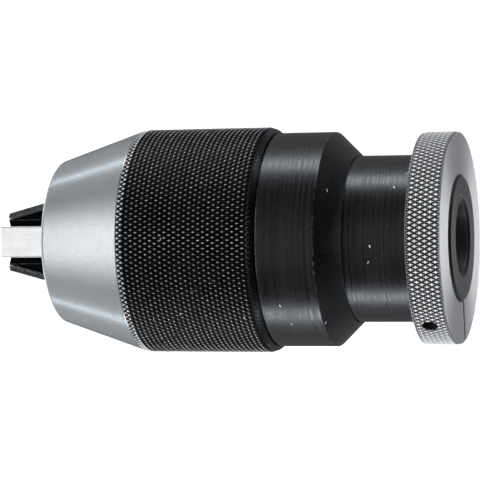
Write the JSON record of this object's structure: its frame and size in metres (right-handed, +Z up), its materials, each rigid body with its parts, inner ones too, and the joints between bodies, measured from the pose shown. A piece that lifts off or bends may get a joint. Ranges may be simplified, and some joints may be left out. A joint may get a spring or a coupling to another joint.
{
  "type": "keyless drill chuck",
  "caption": "Keyless drill chuck with a steel nose cone, black knurled sleeve, knurled grip collar and tapered rear socket; turning the sleeve moves its jaws.",
  "frame": {"origin": "centre of the tapered socket's mouth, on the body's rear face", "axes": "+X along the chuck's axis towards the jaws; +Z up, through the middle of the upper jaw; +Y completes a right-handed frame"},
  "size_m": [0.105, 0.05, 0.05],
  "materials": {
    "satin_steel": "satin ground steel",
    "bright_steel": "bright steel, knurled rim and faced sides",
    "black_oxide": "black oxide on turned and knurled steel",
    "jaw_steel": "hardened steel, bright ground",
    "ground_steel": "ground steel, oiled",
    "ball_steel": "polished bearing steel",
    "cage_brass": "machined brass"
  },
  "bodies": {
    "body": {"body": "black_oxide", "grip_collar": "bright_steel", "collar_clamp_screw": "black_oxide", "flange_nut": "ground_steel", "front_race": "ground_steel"},
    "ball_bearing": {"ball_cage": "cage_brass", "bearing_ball_01": "ball_steel", "bearing_ball_02": "ball_steel", "bearing_ball_03": "ball_steel", "bearing_ball_04": "ball_steel", "bearing_ball_05": "ball_steel", "bearing_ball_06": "ball_steel", "bearing_ball_07": "ball_steel", "bearing_ball_08": "ball_steel", "bearing_ball_09": "ball_steel", "bearing_ball_10": "ball_steel", "bearing_ball_11": "ball_steel", "bearing_ball_12": "ball_steel", "bearing_ball_13": "ball_steel", "bearing_ball_14": "ball_steel", "bearing_ball_15": "ball_steel", "bearing_ball_16": "ball_steel"},
    "hood": {"rear_shell": "black_oxide", "rear_race": "ground_steel", "knurled_sleeve": "black_oxide", "nose_cone": "satin_steel", "jaw_guide": "jaw_steel", "guide_dowel_1": "ground_steel", "guide_dowel_2": "ground_steel", "guide_dowel_3": "ground_steel"},
    "feed_screw": {"feed_screw": "ground_steel"},
    "jaw_1": {"jaw_1": "jaw_steel"},
    "jaw_2": {"jaw_2": "jaw_steel"},
    "jaw_3": {"jaw_3": "jaw_steel"}
  },
  "joints": [
    {"name": "hood_turn", "type": "hinge", "parent": "body", "child": "hood", "pos_m": [0, 0, 0], "axis": [-1, 0, 0], "range_deg": [-709, 382]},
    {"name": "bearing_turn", "type": "hinge", "parent": "body", "child": "ball_bearing", "pos_m": [0, 0, 0], "axis": [-1, 0, 0], "range_deg": [-355, 192]},
    {"name": "screw_feed", "type": "slide", "parent": "hood", "child": "feed_screw", "axis": [1, 0, 0], "range_m": [-0.01183, 0.00637]},
    {"name": "jaw_1_slide", "type": "slide", "parent": "hood", "child": "jaw_1", "axis": [0.9497, 0, -0.3132], "range_m": [-0.01245, 0.00671]},
    {"name": "jaw_2_slide", "type": "slide", "parent": "hood", "child": "jaw_2", "axis": [0.9497, 0.2712, 0.1566], "range_m": [-0.01245, 0.00671]},
    {"name": "jaw_3_slide", "type": "slide", "parent": "hood", "child": "jaw_3", "axis": [0.9497, -0.2712, 0.1566], "range_m": [-0.01245, 0.00671]}
  ],
  "couplings": [
    {"joint": "bearing_turn", "follows": "hood_turn", "ratio": 0.5},
    {"joint": "screw_feed", "follows": "hood_turn", "m_per_rad": 0.00095493},
    {"joint": "jaw_1_slide", "follows": "hood_turn", "m_per_rad": 0.0010055},
    {"joint": "jaw_2_slide", "follows": "hood_turn", "m_per_rad": 0.0010055},
    {"joint": "jaw_3_slide", "follows": "hood_turn", "m_per_rad": 0.0010055}
  ]
}
